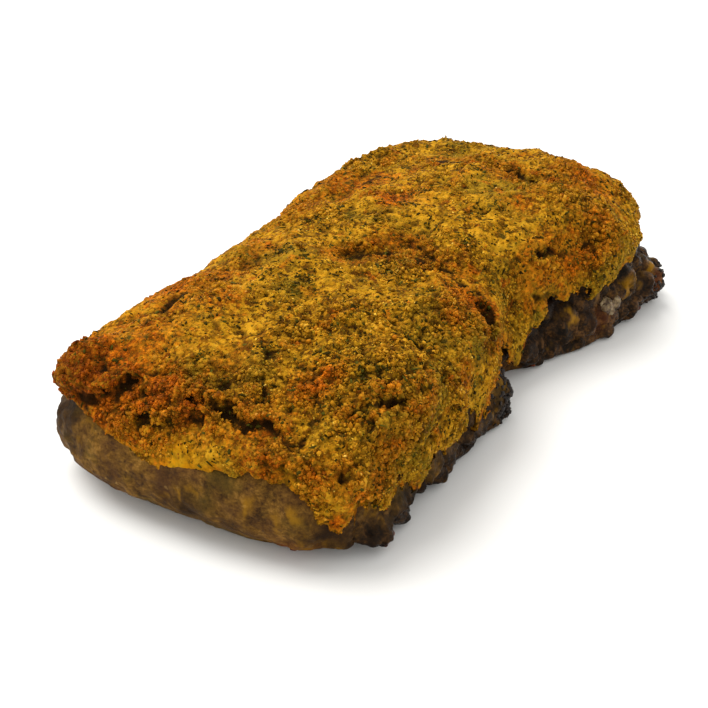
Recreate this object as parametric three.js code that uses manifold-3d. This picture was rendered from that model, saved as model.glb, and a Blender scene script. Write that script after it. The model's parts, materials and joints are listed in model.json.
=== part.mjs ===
// A roast beef sirloin: one boneless joint, baked under a thick mustard, herb and breadcrumb crust.
// Millimetres, +Z up. +X runs along the joint to its far end, -Y is its right side, and the origin
// is at the middle of the box round the joint, on the surface that it lies on. There are two solids:
// the beef, and the crust that caps it. Each is the skin of a box of fine squares, moved onto one
// pillow-like form, and the beef's space is cut out of the crust.
import * as THREE from 'three';
import { mergeVertices } from 'three/addons/utils/BufferGeometryUtils.js';
import Module from 'manifold-3d';

// ---- The dressed joint ----
const NEAR_END = { x: -173, frontY: 45, skew: 0.00095 }; // stands furthest forward at frontY
const FAR_END = { x: 165, frontY: 2, skew: 0.0015 }; // skew: how fast an end falls back, per mm
const RIGHT = { width: 77, waist: 15, waistX: 22, waistReach: 22, flare: 16, flareFrom: 10, flareTo: 118 };
const LEFT = { width: 85, flare: 7, flareFrom: 95, flareTo: 150, bulge: 2, bulgeX: 106, bulgeReach: 36 };
const WIDEST_HEIGHT = 27; // height where the sides stand furthest out
const CROWN = 74; // height along the middle
const PLAN_SQUARENESS = 7; // exponent of the outline seen from above, where 2 is an oval
const SIDE_SQUARENESS = { near: 3.4, far: 4.8, from: 50, to: 140 }; // for the section's upper half
const BASE_TUCK = 0.05; // share of its width by which a side tucks under at the base

// Where the top stands above or below CROWN.
const TOP_FORMS = [
  { name: 'near end', at: [-182, -40], rise: -7, reach: 36 },
  { name: 'near left shoulder', at: [-166, 68], rise: 8, reach: 20 },
  { name: 'waist', at: [8, -30], rise: -3, reach: 26 },
  { name: 'far hump', at: [126, -34], rise: 7, reach: 44 },
  { name: 'far right shoulder', at: [160, -100], rise: -12, reach: 28 },
];

// ---- The crust ----
const NO_INSET = { top: 0, side: 0, nearEnd: 0 };
const CRUST_THICKNESS = { top: 9, side: 7, nearEnd: 5.5 };
const DEEPEST_BITE = { top: 6, side: 4, nearEnd: 3 }; // how far its relief may cut into that thickness
const CRUST_GAP = 0.5; // clear of the beef

// Height of the crust's lower edge, and the stretches over which one height passes into another.
const EDGE_HEIGHT = { side: 20, nearEnd: 40, farEnd: 26, farRight: 39 };
const EDGE_TURNS = { nearEnd: [-128, -152], farEnd: [130, 155], farRight: [18, 48], acrossRight: [-20, -60] };
const EDGE_RAGGED = { height: 3.5, size: 15, seed: 5 };
const EDGE_INNER_HEIGHT = 38; // before the beef's space is cut out, the crust's underside lies here

// Where the lower edge hangs down in a tongue, or lifts.
const EDGE_FORMS = [
  { name: 'front left corner', at: [-150, 80], rise: 13, reach: 26 },
  { name: 'front middle', at: [-170, 22], rise: -13, reach: 12 },
  { name: 'front right corner', at: [-156, -64], rise: -27, reach: 9 },
  { name: 'right side', at: [-62, -77], rise: -4, reach: 18 },
  { name: 'right side tip', at: [-37, -76], rise: -9, reach: 6 },
  { name: 'turn to the waist', at: [-14, -72], rise: 10, reach: 10 },
  { name: 'waist', at: [10, -62], rise: -8, reach: 12 },
];

// Clefts where the crust has split or folded, each a chain of points on or near the surface.
const CLEFTS = [
  { name: 'waist', depth: 7, half: 6, chain: [[22, -74, 40], [6, -60, 68], [-6, -38, 74], [-10, -18, 74]] },
  { name: 'middle', depth: 5, half: 5, chain: [[-6, -24, 74], [2, -8, 74], [-12, 0, 74], [-26, 10, 74]] },
  { name: 'back', depth: 5, half: 6, chain: [[24, 80, 62], [34, 58, 74], [50, 55, 74], [72, 50, 74]] },
  { name: 'front left', depth: 5, half: 4, chain: [[-160, 66, 50], [-164, 48, 50], [-160, 30, 56]] },
  { name: 'front middle', depth: 5, half: 4, chain: [[-166, 18, 46], [-162, -4, 47], [-158, -14, 50]] },
  { name: 'front top', depth: 4, half: 4, chain: [[-160, 4, 63], [-156, -14, 62], [-151, -34, 58]] },
  { name: 'far split', depth: 6, half: 5, chain: [[42, -66, 72], [56, -73, 70], [76, -80, 70]] },
  { name: 'far crease', depth: 5, half: 5, chain: [[30, -70, 66], [34, -76, 58], [46, -82, 46]] },
  { name: 'crown', depth: 3, half: 4, chain: [[107, 31, 78], [110, 14, 78], [100, -10, 78], [97, -36, 76]] },
  { name: 'far notch', depth: 4, half: 5, chain: [[156, -16, 60], [146, -30, 68], [134, -46, 70]] },
];

// The crust's relief, from clumps the size of a walnut down to single crags.
const CRUST_RELIEF = [
  { size: 32, height: 2.0, seed: 3 },
  { size: 15, height: 2.4, seed: 7 },
  { size: 7, height: 1.5, seed: 11 },
];

// Coarse crumbs that stand out of it, spread evenly and never closer together than `apart`.
const CRUMBS = { apart: 28, smallest: 2.2, largest: 4.2, sunk: 0.15, aboveEdge: 8, seed: 17 };

// ---- The beef ----
const BEEF_FOOT = -4; // it is modelled down to here, and cut off flat at the surface it lies on
const GROUND = { wide: 1000, deep: 100 }; // the block that cuts it
const BARE_BEEF = { full: 24, none: 44 }; // heights between which the beef's own relief fades out
const BEEF_RELIEF = [{ size: 40, height: 2.0, seed: 23 }, { size: 17, height: 1.0, seed: 29 }];

const FRONT_BULGE = { height: 18, thick: 12, from: 100, to: 150, reach: 4 }; // at the near end's foot

// The charred edge that has crept out at the foot of the right side, and the fat trim beyond it.
const FRINGE_SIDE = { from: 30, to: 50, fade: 8, seed: 41 };
const FRINGES = [
  { name: 'near fringe', from: -150, to: -14, height: 6, thick: 6, reach: 11, lumps: 11 },
  { name: 'waist fringe', from: -24, to: 14, height: 9, thick: 8, reach: 5, lumps: 9 },
  { name: 'far trim', from: 16, to: 178, height: 13, thick: 12, reach: 16, lumps: 18 },
];
const CHAR_TIP = { at: [142, -82, 12], reach: 12, length: 18 }; // the burnt point at the far right

// ---- Squares on the skin of each box: along, across and up ----
const CRUST_SQUARES = [46, 25, 7];
const BEEF_SQUARES = [34, 16, 8];
const COLOURS = { beef: '#5a4537', crust: '#b0862f' };

const { clamp, lerp, smoothstep } = THREE.MathUtils;
const hump = (distance, reach) => Math.exp(-0.5 * (distance / reach) ** 2);
const formsAt = (forms, x, y) => forms.reduce(
  (sum, { at, rise, reach }) => sum + rise * hump(Math.hypot(x - at[0], y - at[1]), reach), 0);

// A repeatable value from 0 to 1 for each whole-numbered place.
function hash(i, j, k) {
  const h = Math.sin(i * 127.1 + j * 311.7 + k * 74.7) * 43758.5453;
  return h - Math.floor(h);
}

// Smooth noise from -1 to 1, in lumps of the given size.
function noise(p, size, seed) {
  const [x, y, z] = [p.x / size + seed, p.y / size - seed, p.z / size + seed];
  const [i, j, k] = [x, y, z].map(Math.floor);
  const [u, v, w] = [x - i, y - j, z - k].map((t) => t * t * (3 - 2 * t));
  const along = (b, c) => lerp(hash(i, j + b, k + c), hash(i + 1, j + b, k + c), u);
  const across = (c) => lerp(along(0, c), along(1, c), v);
  return 2 * lerp(across(0), across(1), w) - 1;
}

const relief = (p, layers) => layers.reduce(
  (sum, { size, height, seed }) => sum + height * noise(p, size, seed), 0);

// ---- The pillow-like form ----
const rightWidth = (x) => RIGHT.width - RIGHT.waist * hump(x - RIGHT.waistX, RIGHT.waistReach)
  + RIGHT.flare * smoothstep(x, RIGHT.flareFrom, RIGHT.flareTo);
const leftWidth = (x) => LEFT.width + LEFT.flare * smoothstep(-x, LEFT.flareFrom, LEFT.flareTo)
  + LEFT.bulge * hump(x - LEFT.bulgeX, LEFT.bulgeReach);
const nearEnd = (y) => NEAR_END.x + NEAR_END.skew * (y - NEAR_END.frontY) ** 2;
const farEnd = (y) => FAR_END.x - FAR_END.skew * (y - FAR_END.frontY) ** 2;

function sideSquareness(x) {
  const { near, far, from, to } = SIDE_SQUARENESS;
  return lerp(near, far, smoothstep(x, from, to));
}

// A point of a box's skin, each of its coordinates from -1 to 1, moved onto the form. The box's top
// makes the crown, and its sides run down to the height that edgeAt gives. `inset` takes it in.
function formPoint([a, b, c], inset, edgeAt, innerHeight) {
  const square = Math.max(Math.abs(a), Math.abs(b));
  const plan = (Math.abs(a) ** PLAN_SQUARENESS + Math.abs(b) ** PLAN_SQUARENESS) ** (1 / PLAN_SQUARENESS);
  const squareness = sideSquareness(a * FAR_END.x);
  const rim = 1 / (plan ** squareness + 1) ** (1 / squareness);
  const place = (share) => {
    const [along, across] = [a * share, b * share];
    const roughY = across * LEFT.width;
    const x = lerp(nearEnd(roughY) + inset.nearEnd, farEnd(roughY) - inset.side, (along + 1) / 2);
    const width = (across > 0 ? leftWidth(x) : rightWidth(x)) - inset.side;
    return new THREE.Vector3(x, across * width, 0);
  };
  const crownAt = (p) => CROWN + formsAt(TOP_FORMS, p.x, p.y) - inset.top;
  if (c === 1) {
    const p = place(rim);
    p.z = WIDEST_HEIGHT + rim * (crownAt(p) - WIDEST_HEIGHT);
    return p;
  }
  const outline = plan > 0 ? square / plan : 1;
  const outer = place(outline);
  const edge = edgeAt(outer.x, outer.y);
  const rimHeight = WIDEST_HEIGHT + rim * (crownAt(place(rim)) - WIDEST_HEIGHT);
  const z = lerp(edge, rimHeight, (c + 1) / 2);
  const above = clamp((z - WIDEST_HEIGHT) / (crownAt(place(rim)) - WIDEST_HEIGHT), 0, 1);
  const below = Math.max(0, 1 - z / WIDEST_HEIGHT);
  const share = (1 - above ** squareness) ** (1 / squareness) * (1 - BASE_TUCK * below ** 2);
  const p = place(share * outline);
  p.z = square === 1 ? z : innerHeight;
  return p;
}

// The geometry with nothing but positions, and one vertex where several met.
function merged(geometry) {
  geometry.deleteAttribute('normal');
  geometry.deleteAttribute('uv');
  return mergeVertices(geometry);
}

// A closed skin over a box of fine squares, moved by `shape`, then along its normals by `swell`.
function skin(squares, shape, swell) {
  const geometry = merged(new THREE.BoxGeometry(2, 2, 2, ...squares));
  const position = geometry.attributes.position;
  const onSquare = (t) => Math.round(t * 1e4) / 1e4; // so that a point of a face has exactly 1 or -1
  for (let i = 0; i < position.count; i += 1) {
    const place = [position.getX(i), position.getY(i), position.getZ(i)].map(onSquare);
    position.setXYZ(i, ...shape(place).toArray());
  }
  return swelled(geometry, swell);
}

// The geometry with each point moved along its normal by what `swell` gives there.
function swelled(geometry, swell) {
  const moved = geometry.clone();
  moved.computeVertexNormals();
  const { position, normal } = moved.attributes;
  const [p, n] = [new THREE.Vector3(), new THREE.Vector3()];
  for (let i = 0; i < position.count; i += 1) {
    p.fromBufferAttribute(position, i);
    n.fromBufferAttribute(normal, i);
    p.addScaledVector(n, swell(p, n));
    position.setXYZ(i, ...p.toArray());
  }
  moved.deleteAttribute('normal');
  return moved;
}

// ---- Solids ----
const wasm = await Module();
wasm.setup();

function solid(geometry) {
  const vertProperties = Float32Array.from(geometry.attributes.position.array);
  const triVerts = Uint32Array.from(geometry.index.array);
  return new wasm.Manifold(new wasm.Mesh({ numProp: 3, vertProperties, triVerts }));
}

function geometryOf(body) {
  const { vertProperties, triVerts, numProp } = body.getMesh();
  const geometry = new THREE.BufferGeometry();
  const points = Array.from({ length: vertProperties.length / numProp },
    (_, i) => [...vertProperties.subarray(i * numProp, i * numProp + 3)]).flat();
  geometry.setAttribute('position', new THREE.Float32BufferAttribute(points, 3));
  geometry.setIndex([...triVerts]);
  return geometry;
}

const largestPiece = (body) => body.decompose().sort((one, other) => other.volume() - one.volume())[0];

// Everything below the surface that the joint lies on.
function ground() {
  const block = new THREE.BoxGeometry(GROUND.wide, GROUND.wide, GROUND.deep);
  block.translate(0, 0, -GROUND.deep / 2);
  return solid(merged(block));
}

// ---- Beef ----
function beefSwell(p, n) {
  const bare = 1 - smoothstep(p.z, BARE_BEEF.full, BARE_BEEF.none);
  let swell = relief(p, BEEF_RELIEF) * bare;
  const { fade, seed } = FRINGE_SIDE;
  const facesRight = Math.max(0, -n.y) * smoothstep(-p.y, FRINGE_SIDE.from, FRINGE_SIDE.to);
  for (const { from, to, height, thick, reach, lumps } of FRINGES) {
    const along = smoothstep(p.x, from - fade, from + fade) * (1 - smoothstep(p.x, to - fade, to + fade));
    const lumpy = 0.65 + 0.55 * noise(p, lumps, seed);
    swell += reach * along * lumpy * facesRight * hump(p.z - height, thick);
  }
  const { height, thick, from, to, reach } = FRONT_BULGE;
  swell += reach * bare * smoothstep(-p.x, from, to) * hump(p.z - height, thick);
  const tip = new THREE.Vector3(...CHAR_TIP.at);
  return swell + CHAR_TIP.length * hump(p.distanceTo(tip), CHAR_TIP.reach);
}

function beefGeometry() {
  const shape = (abc) => formPoint(abc, CRUST_THICKNESS, () => BEEF_FOOT, BEEF_FOOT);
  return skin(BEEF_SQUARES, shape, beefSwell);
}

// ---- Crust ----
function edgeHeight(x, y) {
  const turn = (value, [from, to]) => smoothstep((value - from) / (to - from), 0, 1);
  let height = lerp(EDGE_HEIGHT.side, EDGE_HEIGHT.farEnd, turn(x, EDGE_TURNS.farEnd));
  height = lerp(height, EDGE_HEIGHT.nearEnd, turn(x, EDGE_TURNS.nearEnd));
  height = lerp(height, EDGE_HEIGHT.farRight, turn(x, EDGE_TURNS.farRight) * turn(y, EDGE_TURNS.acrossRight));
  return height + formsAt(EDGE_FORMS, x, y) + relief({ x, y, z: 0 }, [EDGE_RAGGED]);
}

const CLEFT_LINES = CLEFTS.map(({ chain, depth, half }) => {
  const points = chain.map((point) => new THREE.Vector3(...point));
  const lines = points.slice(1).map((end, i) => new THREE.Line3(points[i], end));
  return { lines, depth, half };
});

function cleftDepth(p) {
  const nearest = new THREE.Vector3();
  return Math.max(...CLEFT_LINES.map(({ lines, depth, half }) => {
    const distances = lines.map((line) => line.closestPointToPoint(p, true, nearest).distanceTo(p));
    return depth * hump(Math.min(...distances), half);
  }));
}

// The crust's relief and clefts, never deeper than the crust there can bear.
function crustSwell(p, n) {
  const sideBite = lerp(DEEPEST_BITE.side, DEEPEST_BITE.nearEnd, Math.max(0, -n.x));
  const bite = lerp(sideBite, DEEPEST_BITE.top, Math.max(0, n.z));
  return Math.max(relief(p, CRUST_RELIEF) - cleftDepth(p), -bite);
}

// One crumb: a rough faceted lump, turned at random and flattened a little.
function crumb(p, n, k) {
  const draw = (use) => hash(k, CRUMBS.seed, use);
  const radius = lerp(CRUMBS.smallest, CRUMBS.largest, draw(1));
  const lump = new THREE.IcosahedronGeometry(radius, 0);
  lump.scale(1, lerp(0.7, 1, draw(2)), lerp(0.6, 0.9, draw(3)));
  lump.rotateX(Math.PI * draw(4));
  lump.rotateZ(Math.PI * draw(5));
  lump.translate(...p.clone().addScaledVector(n, -CRUMBS.sunk * radius).toArray());
  return solid(merged(lump));
}

// Crumbs on the points of the crust's outer skin, taken in a shuffled order.
function crumbs(crust) {
  const geometry = crust.clone();
  geometry.computeVertexNormals();
  const { position, normal } = geometry.attributes;
  const draw = (i) => hash(i, CRUMBS.seed, 6);
  const order = [...Array(position.count).keys()].sort((i, j) => draw(i) - draw(j));
  const taken = [];
  for (const i of order) {
    const p = new THREE.Vector3().fromBufferAttribute(position, i);
    const n = new THREE.Vector3().fromBufferAttribute(normal, i);
    const onTheOutside = n.z > -0.3 && p.z > edgeHeight(p.x, p.y) + CRUMBS.aboveEdge;
    if (onTheOutside && taken.every((other) => other.p.distanceTo(p) > CRUMBS.apart)) taken.push({ p, n });
  }
  return taken.map(({ p, n }, k) => crumb(p, n, k));
}

function crustGeometry() {
  const shape = (abc) => formPoint(abc, NO_INSET, edgeHeight, EDGE_INNER_HEIGHT);
  return skin(CRUST_SQUARES, shape, crustSwell);
}

// ---- Parts ----
const beef = beefGeometry();
const beefBody = solid(beef).subtract(ground());
const beefSpace = solid(swelled(beef, () => CRUST_GAP));
const crust = crustGeometry();
const crustBody = largestPiece(wasm.Manifold.union([solid(crust), ...crumbs(crust)]).subtract(beefSpace));

function part(name, body, color, roughness) {
  const material = new THREE.MeshStandardMaterial({ color, roughness, metalness: 0 });
  const mesh = new THREE.Mesh(geometryOf(body), material);
  mesh.name = name;
  return mesh;
}

const joint = new THREE.Group();
joint.add(part('beef_joint', beefBody, COLOURS.beef, 0.7));
joint.add(part('herb_crust', crustBody, COLOURS.crust, 0.9));

const box = new THREE.Box3().setFromObject(joint);
const middle = box.getCenter(new THREE.Vector3());
joint.position.set(-middle.x, -middle.y, 0);

export default joint;
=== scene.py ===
# A roast beef sirloin under its baked crust of mustard, herbs and breadcrumbs. Lengths are in
# millimetres until a mesh is written, which is in metres. +X runs along the joint to its far end and
# -Y is its right side, so the camera looks at its near end and its right side.
import json
import math

import bpy
import numpy as np
from bpy.props import FloatProperty, FloatVectorProperty, IntProperty, PointerProperty
from mathutils import Matrix
from mathutils.bvhtree import BVHTree
from mathutils.kdtree import KDTree

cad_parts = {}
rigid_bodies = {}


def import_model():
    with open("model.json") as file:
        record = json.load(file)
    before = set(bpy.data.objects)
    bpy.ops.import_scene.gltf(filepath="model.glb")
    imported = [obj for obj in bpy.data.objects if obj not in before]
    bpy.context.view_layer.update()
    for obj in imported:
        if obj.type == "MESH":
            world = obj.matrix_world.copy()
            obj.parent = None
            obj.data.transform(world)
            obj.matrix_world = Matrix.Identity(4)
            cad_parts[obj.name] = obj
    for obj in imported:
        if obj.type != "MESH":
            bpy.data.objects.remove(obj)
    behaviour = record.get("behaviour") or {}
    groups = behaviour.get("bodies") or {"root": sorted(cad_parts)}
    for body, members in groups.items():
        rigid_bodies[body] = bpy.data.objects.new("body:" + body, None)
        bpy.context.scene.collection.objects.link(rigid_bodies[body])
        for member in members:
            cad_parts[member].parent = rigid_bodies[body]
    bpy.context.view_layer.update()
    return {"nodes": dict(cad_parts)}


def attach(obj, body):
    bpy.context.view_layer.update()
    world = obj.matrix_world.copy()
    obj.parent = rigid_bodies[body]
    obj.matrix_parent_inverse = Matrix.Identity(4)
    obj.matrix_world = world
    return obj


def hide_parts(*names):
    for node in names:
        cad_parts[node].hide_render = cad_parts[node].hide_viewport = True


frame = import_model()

bl_info = {
    "name": "Roast beef sirloin",
    "version": (1, 0, 0),
    "blender": (4, 5, 0),
    "location": "3D View > Sidebar > Roast",
    "description": "Builds a crusted roast beef sirloin round its packed solids",
    "category": "Object",
}

MM = 0.001

# ---- Where things are on the joint: each place starts with x, y, z and its reach, in mm ----
# Clefts where the crust has split or folded: how deep, how wide to each side, how far the lip above
# it stands out, and its route.
CLEFTS = [
    ("waist", 6.0, 3.3, 0.6, [[-18, -72, 36], [-26, -69, 53], [-21, -61, 63]]),
    ("waist top", 4.6, 2.6, 1.2, [[-17, -53, 66], [-11, -49, 66], [-10, -40, 67]]),
    ("waist inner", 3.6, 2.3, 1.0, [[-2, -33, 68], [-7, -22, 70]]),
    ("waist foot", 5.0, 3.4, 0.0, [[-2, -66, 26], [-18, -72, 36]]),
    ("middle", 6.0, 3.0, 1.0, [[-4, -21, 72], [4, -5, 71], [-10, 3, 70], [-24, 13, 71]]),
    ("back", 5.0, 2.8, 0.8, [[26, 83, 60], [36, 61, 69], [52, 58, 68], [74, 53, 70]]),
    ("front left", 5.4, 2.9, 3.2, [[-165, 70, 48], [-164, 60, 49], [-162, 51, 50], [-157, 44, 53],
     [-152, 40, 56]]),
    ("front middle", 5.4, 2.7, 2.6, [[-163, 27, 47], [-162, 20, 48], [-161, 12, 50], [-157, 4, 53]]),
    ("front top", 5.4, 2.7, 2.8, [[-151, 6, 58], [-150, -5, 57], [-149, -14, 56], [-147, -26, 56]]),
    ("far split", 6.0, 3.0, 1.2, [[44, -63, 70], [58, -70, 68], [78, -77, 66]]),
    ("far crease", 5.0, 3.0, 0.8, [[32, -67, 62], [36, -73, 52], [48, -79, 42]]),
    ("crown", 4.0, 2.2, 0.8, [[109, 34, 76], [112, 17, 77], [102, -7, 77], [99, -33, 76]]),
    ("far notch", 6.5, 2.8, 1.6, [[158, -13, 60], [148, -27, 70], [136, -43, 73]]),
    ("left end", 3.5, 2.2, 0.8, [[-120, 74, 62], [-108, 60, 70], [-96, 62, 70]]),
    ("near right", 3.5, 2.0, 0.8, [[-126, -52, 62], [-112, -62, 60], [-98, -66, 58]]),
]

# Where the crust is browned orange, and how strongly.
BROWNED = [
    (-15, -63, 61, 7, 1.2), (-21, -57, 65, 6, 1.15), (-7, -63, 59, 5, 1.0), (-168, 18, 37, 5, 0.8),
    (-168, -6, 31, 4, 0.6), (-154, -58, 12, 6, 0.8), (-161, -34, 28, 4, 0.5), (-158, 66, 54, 20, 1.5),
    (-134, 50, 68, 15, 0.6), (-152, 46, 57, 10, 1.3), (-152, 26, 57, 8, 1.2), (-152, 10, 57, 7, 1.1),
    (-148, -19, 57, 9, 0.8), (-123, -30, 65, 6, 1.0), (-116, -31, 66, 6, 0.9), (-163, -28, 43, 6, 0.9),
    (-151, -56, 48, 6, 0.5), (-25, -48, 69, 8, 0.7), (-23, -56, 66, 8, 1.0), (-42, -54, 68, 6, 0.6),
    (-65, 53, 69, 9, 0.5), (-92, 41, 73, 9, 0.5), (-86, 70, 64, 13, 0.8), (16, 70, 66, 14, 0.5),
    (56, 68, 67, 12, 0.7), (43, 27, 73, 7, 1.0), (3, 2, 69, 7, 0.6), (120, -52, 75, 13, 0.8),
    (59, -62, 63, 6, 0.5), (61, -70, 52, 7, 0.8), (67, -35, 76, 6, 0.5), (-27, -73, 24, 8, 1.0),
    (-150, -61, 24, 4, 1.0), (84, -80, 58, 7, 0.4), (-158, 38, 46, 9, 0.7), (-128, 8, 68, 8, 0.35),
    (-61, -72, 47, 5, 0.7), (-168, 30, 41, 6, 0.8), (-168, 19, 38, 5, 0.8), (-160, -25, 50, 6, 0.8),
    (-160, -34, 46, 7, 0.9), (-155, -49, 44, 6, 0.7), (-149, -34, 53, 5, 0.5), (-132, -70, 37, 6, 0.6),
    (-123, -69, 46, 7, 0.5), (-144, -65, 34, 5, 0.8), (-148, -63, 45, 5, 0.6), (88, -71, 68, 8, 0.7),
    (67, -73, 55, 8, 0.8), (-14, -62, 62, 7, 0.7), (99, -9, 75, 7, 0.5), (-102, 54, 69, 9, 0.6),
    (-121, 49, 69, 7, 0.5), (-69, 56, 69, 8, 0.6), (-36, 56, 71, 8, 0.5), (64, 23, 72, 6, 0.5),
]
# Where the paste has melted smooth and yellow, without crumbs, and how strongly.
GLAZED = [
    (-168, 8, 35, 7, 1.0), (-167, -4, 36, 5, 0.6), (-162, -30, 32, 5, 0.6), (-160, -40, 30, 5, 0.7),
    (-157, -48, 28, 4, 0.6), (-158, -40, 40, 6, 0.35),
]
# Where the crust is loose and crumbly, and how strongly.
CRUMBLY = [
    (-108, -72, 49, 16, 1.0), (-133, -68, 42, 14, 1.0), (-75, -69, 54, 14, 0.9), (-96, -55, 70, 16, 0.9),
    (-128, -51, 62, 14, 0.8), (-131, -30, 61, 12, 0.7), (-139, -6, 62, 14, 0.8), (-152, 15, 59, 14, 1.0),
    (-160, 40, 50, 12, 0.9), (-28, -59, 63, 14, 0.8), (-42, -46, 70, 12, 0.6), (-15, -11, 70, 18, 0.9),
    (92, -64, 73, 16, 0.8), (79, -76, 59, 12, 1.0), (97, -44, 78, 14, 0.6), (-158, -38, 47, 12, 0.9),
    (82, 76, 68, 12, 0.4), (107, 7, 75, 12, 0.5), (-101, -15, 69, 16, 0.5), (-72, -7, 73, 10, 0.4),
    (100, -78, 66, 12, 0.7), (-98, -36, 69, 14, 0.6), (54, -64, 56, 9, 0.6),
]
# Pits, several of which hold burnt herbs; their bottoms are darkened with painted shade.
PITS = [
    (-115, -4, 70, 4.2), (-108, 19, 70, 3.4), (-92, 43, 73, 3.0), (-109, -47, 68, 4.6),
    (-103, -51, 69, 3.2), (-88, -63, 65, 2.8), (-56, 14, 72, 2.6), (-15, 11, 69, 4.0), (8, 2, 70, 3.0),
    (49, -21, 74, 2.8), (-96, -6, 69, 2.4), (-60, 25, 73, 2.4), (-128, -56, 59, 3.0), (-116, -67, 60, 2.6),
    (-147, -61, 48, 3.0), (-157, 43, 52, 3.4), (-162, 55, 44, 3.4), (-147, -40, 53, 3.4),
    (36, -61, 40, 4.0), (-8, -35, 65, 3.8), (-14, -54, 67, 4.4), (-34, -67, 58, 3.6),
]
# Clumps of dark leaf.
LEAF_CLUMPS = [
    (-110, -46, 68, 3.6), (-103, -50, 69, 3.0), (-56, 15, 72, 3.0), (48, -20, 74, 2.6), (-115, -3, 70, 3.0),
    (-90, -62, 65, 2.6), (-30, -10, 70, 3.0), (20, -30, 73, 3.2), (-70, -20, 71, 2.6), (90, 0, 76, 3.0),
    (-100, 50, 70, 2.6), (60, 20, 74, 3.0), (0, 50, 71, 3.0), (110, 50, 72, 3.0), (-40, 40, 72, 3.0),
    (-130, 20, 67, 2.6),
]
# Where mustard has run down or smeared over the beef, and how strongly.
SMEARED = [
    (-160, -45, 28, 3.2, 1.0), (-161, -38, 22, 2.6, 0.9), (-163, -26, 27, 3.0, 0.9),
    (-166, 3, 24, 2.6, 0.9), (-166, 8, 16, 2.2, 0.6), (-162, -25, 19, 3.0, 0.6), (-158, -48, 12, 3.4, 0.5),
    (-165, 30, 30, 4.0, 0.5), (56, -74, 23, 3.6, 1.0), (60, -75, 20, 2.6, 0.9), (102, -87, 25, 4.4, 1.2),
    (110, -90, 28, 4.0, 1.0), (134, -90, 23, 5.0, 1.2), (144, -92, 26, 3.2, 0.8), (-14, -67, 22, 3.0, 0.7),
    (56, -72, 23, 4.6, 1.3),
]
# Where the beef is painted darkest, partly for its own darker cut face and foot and partly as painted
# shadow under the crust's lip, and where juice has dried red at its foot.
DARK_AND_SHADED_BEEF = [
    (-153, -57, 14, 5, 1.0), (-158, 76, 34, 8, 0.8), (-166, 2, 17, 8, 0.9), (48, -67, 35, 8, 1.2),
    (58, -72, 32, 5, 0.9), (70, -79, 24, 5, 0.8), (96, -86, 20, 4, 0.6), (116, -90, 20, 5, 0.6),
    (30, -63, 14, 6, 0.7), (-166, 6, 18, 7, 0.8), (-165, 69, 40, 9, 0.9), (-150, -56, 16, 8, 0.9),
    (-163, -10, 30, 6, 0.5),
]
RED_BEEF = [
    (-154, -42, 4, 4.5, 1.0), (-157, -38, 7, 3.0, 0.7), (134, -93, 16, 5, 0.35), (78, -83, 15, 5, 0.25),
]
# The charred, glossy foot of the right side: its height, how far to the right it starts, and how softly
# it ends.
FRINGE = {"top": 17, "fade": 9, "side": 48, "side_fade": 12}

# Lobes that stand out of the beef, and how far.
BEEF_LOBES = [
    (-129, -67, 5, 5.5, 4.5), (-119, -68, 12, 4.5, 3.0), (-141, -60, 5, 6.0, 3.0), (-108, -67, 5, 6.0, 3.2),
    (-44, -73, 8, 6.0, 2.5), (-13, -68, 15, 6.0, 2.6), (36, -62, 5, 6.0, 3.0), (-153, -56, 13, 4.0, -3.5),
    (-163, 73, 13, 8.0, -5.0), (86, -80, 6, 7.0, 3.0), (112, -88, 8, 8.0, 3.0), (138, -94, 6, 7.0, 5.5),
    (88, -80, 20, 5.5, 3.0), (-155, -42, 6, 5.0, 2.0), (62, -73, 14, 7.0, 2.5), (128, -92, 20, 6.0, 3.0),
]
# Where the beef's foot curls up off the floor: x, y, reach and rise.
FOOT_CURLS = [
    (-166, 68, 12, 4.0), (-166, 46, 12, 2.4), (-165, 24, 12, 0.8), (-156, -40, 8, 3.0), (-151, -54, 8, 4.5),
    (-141, -64, 8, 4.0), (-124, -70, 8, 3.0), (-88, -70, 10, 3.0),
]
# Where the crust's lower edge hangs lower, and by how much.
EDGE_DROPS = [
    (-168, 12, 34, 9, 12.0), (-169, 26, 32, 7, 6.0), (-151, -60, 18, 7.5, 12.5), (-138, -66, 22, 7, 6.0),
    (-167, 3, 32, 3, 15.0), (-164, 46, 38, 8, 3.0), (20, -60, 20, 10, 11.0), (38, -63, 28, 8, 9.0),
    (52, -68, 36, 9, 9.0), (70, -76, 38, 10, 11.0), (86, -80, 38, 9, 9.0), (-50, -72, 16, 9, 5.0),
    (-128, -68, 22, 7, 2.0), (-108, -71, 20, 9, 4.0), (-76, -72, 18, 9, 5.0),
]
# Where the crust bulges or dips, and by how much.
CRUST_SWELL = [
    (26, -60, 28, 9, 4.0), (44, -66, 34, 8, 2.0), (2, -68, 40, 11, -6.5), (0, -62, 60, 11, -4.5),
    (44, 80, 58, 12, 5.0), (-22, 66, 68, 14, -2.5), (-137, 76, 62, 12, -4.5), (-125, 70, 68, 10, -2.5),
    (96, 51, 74, 16, -8.5), (120, 35, 72, 14, -6.0), (121, -76, 68, 14, -8.0), (130, -60, 74, 10, -3.0),
    (126, -42, 78, 8, 2.5), (138, -20, 75, 8, 1.0), (-160, 70, 52, 7, 2.0), (-152, 72, 58, 8, 5.0),
    (-145, 71, 63, 7, 5.0), (-22, -18, 72, 9, 2.2), (-36, -62, 66, 8, 1.6),
]
CRUST_DIP = 0.7  # the whole crust sinks by this much, for the crumbs that lie on it
END_SWELL = {"rise": 2.8, "from": 138, "to": 156}  # the bare near end stands out past the crust's edge

PALE_PATCH = (118, -89, 46, 5, 1.0)  # where pale crumbs lie thickest

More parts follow.
